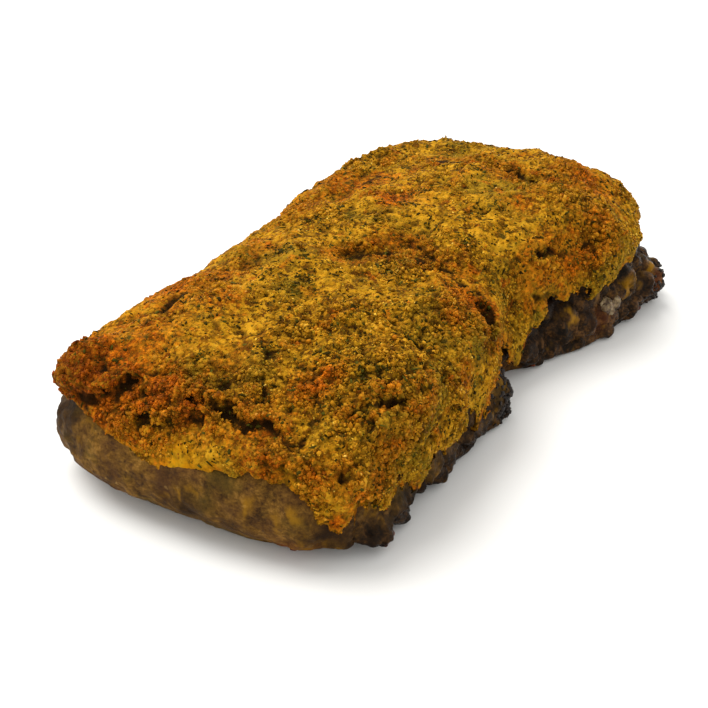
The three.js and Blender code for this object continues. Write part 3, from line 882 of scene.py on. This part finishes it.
class RoastCrumbSettings(bpy.types.PropertyGroup):
    """How many crumbs and herbs there are"""

    golden: IntProperty(name="Golden crumbs", description="How many golden crumbs", default=9000)
    fine: IntProperty(name="Fine crumbs", description="How many fine crumbs", default=9800)
    olive: IntProperty(name="Olive crumbs", description="How many herb-stained crumbs", default=7000)
    pale: IntProperty(name="Pale crumbs", description="How many pale crumbs", default=1800)
    clustered: IntProperty(name="Clustered crumbs", description="How many crumbs in clumps", default=9500)
    herbs: IntProperty(name="Herb flecks", description="How many flecks of herb", default=6800)
    char: IntProperty(name="Charred bits", description="How many charred bits", default=500)


class RoastStageSettings(bpy.types.PropertyGroup):
    """The light"""

    sky: FloatProperty(name="Sky", description="Strength of the light from all round", default=1.16)
    sun: FloatProperty(name="Key", description="Strength of the large soft light", default=2.9)
    colour: FloatVectorProperty(
        name="Sky colour", description="Colour of the light from all round", subtype="COLOR", size=3,
        default=linear("#fffefb")[:3])


# ---- Pieces ----
class RoastBeef(bpy.types.Operator):
    """Make the beef joint: the cut near end, the charred foot and the flat underside"""

    bl_idname = "roast.beef"
    bl_label = "Beef joint"

    def execute(self, context):
        settings = context.scene.roast_beef
        beef = copy_of_node("sirloin_joint", "beef_joint")
        finish_with(beef, "REMESH", mode="VOXEL", voxel_size=settings.voxel)
        points = points_of(beef)
        below_crust = away_from(points, node_surface("herb_crust"))
        swell = END_SWELL["rise"] * smooth(-points[:, 0], END_SWELL["from"], END_SWELL["to"])
        swell *= smooth(points[:, 2], 2, 16)
        lobes = np.zeros(len(points))
        add_lobes(lobes, points, BEEF_LOBES)
        raise_by(beef, (swell + lobes) * smooth(below_crust, 0.8, 5.0) * smooth(points[:, 2], 0.2, 2.0))
        points = points_of(beef)
        for *place, reach, rise in FOOT_CURLS:
            away = length(points[:, :2] - place)
            points[:, 2] += rise * hump(away, reach) * smooth(points[:, 2], 16, 0)
        put_points(beef, points)
        thin_out(beef, settings.triangles, smooth(below_crust, 3.0, 1.0))
        finish_with(beef, "SMOOTH", factor=0.5, iterations=7)
        self.roughen(beef)
        self.colour(beef)
        smooth_shaded(beef)
        hand_over(beef, "beef_joint", beef_material())
        return {"FINISHED"}

    def fringe(self, points, normals):
        """How much a point belongs to the charred foot of the right side."""
        low = 1 - smooth(points[:, 2], FRINGE["top"] - FRINGE["fade"], FRINGE["top"] + FRINGE["fade"])
        right = smooth(-points[:, 1], FRINGE["side"], FRINGE["side"] + FRINGE["side_fade"])
        far = smooth(points[:, 0], 4, 18) * smooth(-normals[:, 1], -0.2, 0.4)
        near = smooth(points[:, 0], -152, -142)
        return np.clip(np.maximum(low * near, far) * right, 0, 1)

    def roughen(self, beef):
        points, normals = points_of(beef), normals_of(beef)
        fringe = self.fringe(points, normals)
        bare = smooth(points[:, 2], 0.3, 3.0)
        covered = smooth(away_from(points, node_surface("herb_crust")), 0.8, 3.0)
        height = layered(points, "beef")
        height += 0.35 * noise(points * FIBRES, 2.0, 109)
        ragged = wobbled(points, "fringe")
        lump, lump_gap, own = lumps(ragged, 14.0, 127)
        crag, crag_gap, crag_own = lumps(ragged, 5.0, 131)
        past_waist = smooth(points[:, 0], -10, 20)
        fringed = (4.5 + 2.5 * past_waist) * (0.5 - lump) * (0.4 + own) - 2.2 * np.exp(-lump_gap / 0.13)
        fringed += (1.8 - 1.1 * past_waist) * (0.45 - crag) * (0.4 + crag_own)
        fringed -= 0.6 * np.exp(-crag_gap / 0.2)
        height = height + fringe * fringed
        height += 1.1 * at_places(wobbled(points, "smear"), SMEARED)
        raise_by(beef, height * bare * covered)
        points = points_of(beef)
        points[:, 2] = np.maximum(points[:, 2], 0)
        put_points(beef, points)

    def colour(self, beef):
        points, normals = points_of(beef), normals_of(beef)
        ragged = wobbled(points, "beef colour")
        fringe = self.fringe(ragged, normals)
        smeared = np.zeros(len(points))
        for *place, reach, strength in SMEARED:
            away = length((ragged - place) * RUN_DOWN)
            smeared = np.maximum(smeared, 0.55 * strength * smooth(hump(away, reach * 0.75), 0.3, 0.95))
        thin = smooth(noise(ragged * RUN_DOWN, 5.0, 151) + 0.5 * noise(points, 2.0, 157), 0.55, 1.1)
        paint(beef, "smeared", np.clip(smeared + 0.3 * thin, 0, 1))
        paint(beef, "seared", fringe)
        # Painted shade in the folds of the charred foot.
        fold_shade = smooth(hollow_of(beef, 20), 0.35, 1.8) * self.fringe(points, normals)
        burnt = 0.5 * fringe * smooth(-points[:, 0], -5, 15)
        paint(beef, "dark", np.maximum(np.maximum(at_places(ragged, DARK_AND_SHADED_BEEF), fold_shade), burnt))
        paint(beef, "red", at_places(ragged, RED_BEEF))


class RoastCrust(bpy.types.Operator):
    """Make the crust: the baked paste with its clefts, pits, clumps and grain"""

    bl_idname = "roast.crust"
    bl_label = "Herb crust"

    def execute(self, context):
        settings = context.scene.roast_crust
        crust = copy_of_node("mustard_herb_crust", "herb_crust")
        beef = node_surface("beef_joint")
        # The body and its clefts first, on a coarser mesh, and then the grain on the fine one.
        finish_with(crust, "REMESH", mode="VOXEL", voxel_size=settings.voxel * COARSER)
        finish_with(crust, "SMOOTH", factor=0.5, iterations=6)
        self.thin_edge(crust, beef)
        points = points_of(crust)
        thick = away_from(points, beef)
        outside = smooth(thick, 1.0, 2.2)
        bite, _ = crust_cleft(points)
        swell = layered(points, "crust swell") - CRUST_DIP
        add_lobes(swell, points, CRUST_SWELL)
        spare = np.maximum(thick - LEAST_CRUST["cleft"], 0)
        raise_by(crust, outside * np.maximum(swell - bite, -spare))
        finish_with(crust, "REMESH", mode="VOXEL", voxel_size=settings.voxel)
        keep_main_part(crust)
        thin_out(crust, settings.triangles, smooth(away_from(points_of(crust), beef), 1.7, 1.0))
        finish_with(crust, "SMOOTH", factor=0.5, iterations=1)
        self.roughen(crust, beef, settings.grain)
        smooth_shaded(crust)
        hand_over(crust, "herb_crust", baked_crust_material())
        return {"FINISHED"}

    def thin_edge(self, crust, beef):
        """Draws the lower edge in towards the beef, until it is thin and ragged."""
        points, normals = points_of(crust), normals_of(crust)
        thick = away_from(points, beef)
        rim = np.flatnonzero((normals[:, 2] < -0.6) & (thick > 1.0))
        tree = KDTree(len(rim))
        for i in rim:
            tree.insert(points[i], int(i))
        tree.balance()
        edge = np.array([tree.find(p)[2] for p in points])
        hung = np.zeros(len(points))
        for *place, reach, drop in EDGE_DROPS:
            away = length((points - place) * DRAPED)
            hung = np.maximum(hung, drop * hump(away, reach) * smooth(edge, 6 + 1.5 * drop, 0.5))
        raise_by(crust, -hung, direction="Z")
        raise_by(crust, -0.45 * hung * smooth(-points[:, 1], 45, 58), direction="Y")
        raise_by(crust, -0.3 * hung * smooth(-points[:, 0], 150, 160), direction="X")
        thick = away_from(points_of(crust), beef)
        near = smooth(-points[:, 0], 128, 150) + 0.6 * smooth(points[:, 1], 20, 50)
        drawn = (0.3 + 0.2 * np.clip(near, 0, 1)) * smooth(edge, 8, 1.0) * smooth(thick, 0.9, 1.6)
        group = weigh(crust, "edge", drawn)
        finish_with(crust, "SHRINKWRAP", target=frame["nodes"]["beef_joint"], vertex_group=group,
                    wrap_method="NEAREST_SURFACEPOINT")
        raise_by(crust, layered(points, "crust edge") * smooth(edge, 5, 0.5), direction="Z")

    def roughen(self, crust, beef, strength):
        points, normals = points_of(crust), normals_of(crust)
        thick = away_from(points, beef)
        outside = smooth(thick, 1.0, 2.0)
        feel = crust_feel(points, normals)
        _, dark = crust_cleft(points)
        calm = np.clip(feel["glazed"] + 0.35 * smooth(-normals[:, 1], 0.5, 0.9), 0, 1)
        height, gap_shade = crust_grain(points, calm)
        spare = np.maximum(thick - LEAST_CRUST["grain"], 0)
        raise_by(crust, outside * strength * np.maximum(height, -spare))
        rim = smooth(thick, 3.4, 1.8) * smooth(noise(points, 8, 181), -0.5, 0.3)
        feel["browned"] = np.maximum(feel["browned"], 0.75 * rim)
        paint(crust, "crumbly", crumbly_at(points))
        for key, values in feel.items():
            paint(crust, key, values)
        # Painted shade in hollows, at cleft and pit bottoms, in gaps between clumps and where the crust
        # meets the beef.
        below = hollow_of(crust, 28)
        hollow_shade = np.maximum(np.maximum(smooth(below, 0.2, 1.3), 0.96 * dark), 0.7 * gap_shade)
        paint(crust, "hollow_shade", np.clip(hollow_shade + 0.3 * (1 - outside), 0, 1))
        # A painted highlight on the crests.
        paint(crust, "crest", smooth(-below, 0.1, 1.2) * outside)


class RoastCrumbs(bpy.types.Operator):
    """Make the breadcrumbs that stick out of the crust: golden, fine, olive, pale and clustered"""

    bl_idname = "roast.crumbs"
    bl_label = "Breadcrumbs"

    KINDS = [
        # name, count, smallest, largest, sunk, piled up, patches' size, and the tones of its colour
        ("golden_crumbs", "golden", 0.4, 1.0, 0.4, 0.0, 9,
         [(0.2, "#603a06"), (0.85, "#c69228"), (0.45, "#9c6b0f"), (0.65, "#b68218")]),
        ("fine_crumbs", "fine", 0.3, 0.6, 0.3, 0.0, 6,
         [(0.2, "#563306"), (0.85, "#be8920"), (0.45, "#8e600c"), (0.65, "#ac7812")]),
        ("olive_crumbs", "olive", 0.35, 0.8, 0.35, 0.0, 8,
         [(0.2, "#443208"), (0.85, "#a6861e"), (0.45, "#6c5410"), (0.65, "#8a6e16")]),
        ("pale_crumbs", "pale", 0.3, 0.65, 0.2, 0.3, 12,
         [(0.2, "#bc8814"), (0.85, "#f8d468"), (0.45, "#d09e26"), (0.65, "#e4b640")]),
        ("clustered_crumbs", "clustered", 0.42, 1.0, 0.35, 1.05, 7,
         [(0.2, "#502e05"), (0.85, "#d8a232"), (0.45, "#98680e"), (0.65, "#bc8619")]),
    ]

    def execute(self, context):
        surface = open_crust()
        for seed, (name, count, low, high, sunk, piled, patch, tones) in enumerate(self.KINDS):
            draw = np.random.default_rng(200 + seed)
            number = getattr(context.scene.roast_crumbs, count)

            def density(middle, facing, hollow_shade):
                feel = crust_feel(middle, facing)
                patchy = 0.12 + smooth(noise(middle, patch, 211 + seed), -0.4, 0.5)
                if piled > 1:
                    patchy = (patchy * crumbly_at(middle)) ** 2
                left = smooth(facing[:, 1], 0.0, 0.5)
                few = 0.4 if count == "fine" else 0.06
                patchy = patchy * (few + (1 - few) * crumbly_at(middle)) * (1 - 0.85 * left)
                patchy *= smooth(facing[:, 2], -0.55, -0.15)
                if count == "pale":
                    patchy += 6 * at_places(middle, [PALE_PATCH])
                return patchy * (1 - 0.97 * feel["glazed"]) * (1.02 - hollow_shade) ** 2

            spread = scattered_on(surface, number, density, draw)
            sizes = low + (high - low) * draw.random(number) ** 2
            forms = 0.5 + 0.95 * draw.random((number, 3))
            lifted = sunk - piled * draw.random(number) ** 1.5
            piece = bits(name, ball(1), spread, sizes, forms, turned(draw, number), lifted, 1.1, draw)
            hand_over(piece, "herb_crust", crumb_material(name + "_toast", tones))
        return {"FINISHED"}


class RoastHerbs(bpy.types.Operator):
    """Make the flecks and clumps of dried herb in the crust"""

    bl_idname = "roast.herbs"
    bl_label = "Herbs"

    def execute(self, context):
        surface = open_crust()
        draw = np.random.default_rng(307)
        number = context.scene.roast_crumbs.herbs

        def density(middle, facing, hollow_shade):
            patchy = 0.25 + smooth(noise(middle, 10, 311), -0.4, 0.6)
            clumps = at_places(wobbled(middle, "leaf clump"), [(*clump, 1.0) for clump in LEAF_CLUMPS])
            feel = crust_feel(middle, facing)
            patchy *= (1 - 0.7 * smooth(facing[:, 1], 0.0, 0.5)) * smooth(facing[:, 2], -0.5, -0.1)
            return patchy * (1 - 0.6 * feel["browned"]) * (1 - 0.92 * feel["glazed"]) + 7 * clumps

        spread = scattered_on(surface, number, density, draw)
        sizes = 0.35 + 0.85 * draw.random(number) ** 2.5
        forms = np.stack([0.8 + 1.3 * draw.random(number) ** 2, 0.45 + 0.4 * draw.random(number),
                          0.2 + 0.25 * draw.random(number)], axis=1)
        turns = lying(draw, spread[1])
        piece = bits("herb_flecks", ball(1), spread, sizes, forms, turns, -0.05, 0.8, draw)
        hand_over(piece, "herb_crust", herb_material())
        return {"FINISHED"}


class RoastTrimmings(bpy.types.Operator):
    """Make the charred bits at the foot, the beads of set juice and the knob of fat"""

    bl_idname = "roast.trimmings"
    bl_label = "Charred bits, juice and fat"

    # Balls of [x, y, z, radius] that are set on the beef and joined, and where burnt crumbs lie.
    JUICE = [
        [-130, -71, 4, 2.6], [-126, -70, 3, 2.2], [-110, -69, 3, 1.8], [-140, -60, 2.6, 1.8],
        [36, -63, 3, 1.8], [90, -83, 4, 2.0], [118, -90, 5, 2.4], [-154, -41, 3.5, 2.2],
    ]
    FAT = [[87, -85, 22, 4.6], [91, -86, 20, 4.0], [88, -85, 18, 3.2]]
    CHARRED = [
        (-12, -70, 12, 6.0, 1.0), (-8, -69, 18, 5.0, 1.0), (140, -97, 10, 6.0, 1.0),
        (146, -95, 16, 5.0, 0.8),
    ]

    def blob(self, name, balls, sunk, seed, material, slot):
        """Balls set on the beef, joined into lumps, and roughened. sunk is in radii."""
        bpy.ops.object.select_all(action="DESELECT")
        beef = bpy.data.objects["sirloin_joint"].data
        surface = BVHTree.FromPolygons([v.co for v in beef.vertices], [p.vertices for p in beef.polygons])
        parts = []
        for *place, radius in balls:
            on, facing, _, _ = surface.find_nearest(np.array(place) * MM)
            x, y, z = np.array(on) / MM - np.array(facing) * sunk * radius
            bpy.ops.mesh.primitive_ico_sphere_add(subdivisions=3, radius=radius * MM,
                                                  location=(x * MM, y * MM, z * MM))
            bpy.ops.object.transform_apply(location=True, rotation=True, scale=True)
            parts.append(bpy.context.object)
        for part in parts:
            part.select_set(True)
        bpy.ops.object.join()
        piece = bpy.context.object
        piece.name = piece.data.name = name
        finish_with(piece, "REMESH", mode="VOXEL", voxel_size=0.0005)
        finish_with(piece, "SMOOTH", factor=0.5, iterations=3)
        raise_by(piece, layered(points_of(piece), "blob", seed))
        points = points_of(piece)
        points[:, 2] = np.maximum(points[:, 2], 0)
        put_points(piece, points)
        smooth_shaded(piece)
        hand_over(piece, "beef_joint", material)

    def execute(self, context):
        juice = glossy_material("set_beef_juice", [(0.35, "#2a1007"), (0.7, "#74360f"), (0.5, "#481c09")],
                                0.004, 0.12, 0.3)
        fat = glossy_material("rendered_beef_fat", [(0.38, "#3a281a"), (0.68, "#93805e"), (0.5, "#635036")],
                              0.003, 0.3, 0.2)
        char = glossy_material("charred_crust", [(0.35, "#0c0a08"), (0.7, "#3a2a1c"), (0.5, "#1c1410")],
                               0.0015, 0.4, 0.0)
        self.blob("juice_beads", self.JUICE, 0.4, 401, juice, "roast_beef")
        self.blob("fat_knobs", self.FAT, 0.6, 409, fat, "roast_beef")
        beef = bpy.data.objects["sirloin_joint"]
        draw = np.random.default_rng(419)
        number = context.scene.roast_crumbs.char

        def density(middle, facing, hollow_shade):
            return at_places(middle, self.CHARRED) * (facing[:, 2] > -0.6)

        spread = scattered_on(surface_of(beef), number, density, draw)
        sizes = 0.6 + 1.0 * draw.random(number) ** 2
        forms = 0.7 + 0.5 * draw.random((number, 3))
        spread[0][:, 2] = np.maximum(spread[0][:, 2], 2.2)
        piece = bits("charred_bits", ball(1), spread, sizes, forms, turned(draw, number), 0.1, 0.7, draw)
        hand_over(piece, "beef_joint", char)
        return {"FINISHED"}


class RoastStage(bpy.types.Operator):
    """Make the pale floor, the soft light and the camera"""

    bl_idname = "roast.stage"
    bl_label = "Stage"

    # Places in mm, angles in degrees, the lens in mm on a frame 36 mm wide, clips in metres.
    CAMERA = {"at": (-475.2, -256.05, 330.0), "heading": 30.4, "down": 31.0, "roll": 1.0, "lens": 62.14,
              "frame": 36, "clips": (0.01, 50)}
    KEY = {"tilt": -32, "lean": 2, "spread": 45, "colour": "#fffdfa"}
    FLOOR = {"size": 12, "below": 0.0002}  # in metres; it lies just clear of the beef's flat underside

    def execute(self, context):
        settings = context.scene.roast_stage
        scene = context.scene
        bpy.ops.object.select_all(action="DESELECT")
        bpy.ops.mesh.primitive_plane_add(size=self.FLOOR["size"], location=(0, 0, -self.FLOOR["below"]))
        floor = context.object
        floor.name = "pale_floor"
        bpy.ops.object.transform_apply(location=True, rotation=True, scale=True)
        floor.data.materials.append(floor_material())
        world = bpy.data.worlds.new("studio")
        scene.world = world
        world.use_nodes = True
        background = world.node_tree.nodes["Background"]
        background.inputs["Color"].default_value = (*settings.colour, 1)
        background.inputs["Strength"].default_value = settings.sky
        sun = bpy.data.lights.new("key", "SUN")
        sun.energy = settings.sun
        sun.angle = math.radians(self.KEY["spread"])
        sun.color = linear(self.KEY["colour"])[:3]
        key = bpy.data.objects.new("key", sun)
        key.rotation_euler = (math.radians(self.KEY["tilt"]), math.radians(self.KEY["lean"]), 0)
        scene.collection.objects.link(key)
        scene.view_settings.view_transform = "Standard"
        self.camera(scene)
        return {"FINISHED"}

    def camera(self, scene):
        heading, down, roll = (math.radians(self.CAMERA[k]) for k in ("heading", "down", "roll"))
        ahead = np.array([math.cos(heading), math.sin(heading), 0])
        forward = math.cos(down) * ahead - [0, 0, math.sin(down)]
        level = np.array([math.sin(heading), -math.cos(heading), 0])
        up = np.cross(level, forward)
        right = math.cos(roll) * level + math.sin(roll) * up
        up = np.cross(right, forward)
        made = bpy.data.cameras.new("camera")
        made.lens, made.sensor_width = self.CAMERA["lens"], self.CAMERA["frame"]
        made.clip_start, made.clip_end = self.CAMERA["clips"]
        camera = bpy.data.objects.new("camera", made)
        at = np.array(self.CAMERA["at"]) * MM
        turn = np.stack([right, up, -forward]).T
        camera.matrix_world = Matrix([*np.column_stack([turn, at]), (0, 0, 0, 1)])
        scene.collection.objects.link(camera)
        scene.camera = camera


class RoastPanel(bpy.types.Panel):
    """The buttons that build the roast, in order"""

    bl_idname = "VIEW3D_PT_roast"
    bl_label = "Roast beef sirloin"
    bl_space_type = "VIEW_3D"
    bl_region_type = "UI"
    bl_category = "Roast"

    def draw(self, context):
        for group in SETTINGS:
            box = self.layout.box()
            settings = getattr(context.scene, group)
            for name in SETTINGS[group].__annotations__:
                box.prop(settings, name)
        for operator in OPERATORS:
            self.layout.operator(operator.bl_idname)


SETTINGS = {
    "roast_beef": RoastBeefSettings,
    "roast_crust": RoastCrustSettings,
    "roast_crumbs": RoastCrumbSettings,
    "roast_stage": RoastStageSettings,
}
OPERATORS = [RoastStage, RoastBeef, RoastCrust, RoastCrumbs, RoastHerbs, RoastTrimmings]


def register():
    for made in (*SETTINGS.values(), *OPERATORS, RoastPanel):
        bpy.utils.register_class(made)
    for name, group in SETTINGS.items():
        setattr(bpy.types.Scene, name, PointerProperty(type=group))


def unregister():
    for name in SETTINGS:
        delattr(bpy.types.Scene, name)
    for made in (RoastPanel, *reversed(OPERATORS), *reversed(SETTINGS.values())):
        bpy.utils.unregister_class(made)


def main():
    register()
    for operator in OPERATORS:
        group, name = operator.bl_idname.split(".")
        getattr(getattr(bpy.ops, group), name)()


if __name__ == "__main__":
    main()
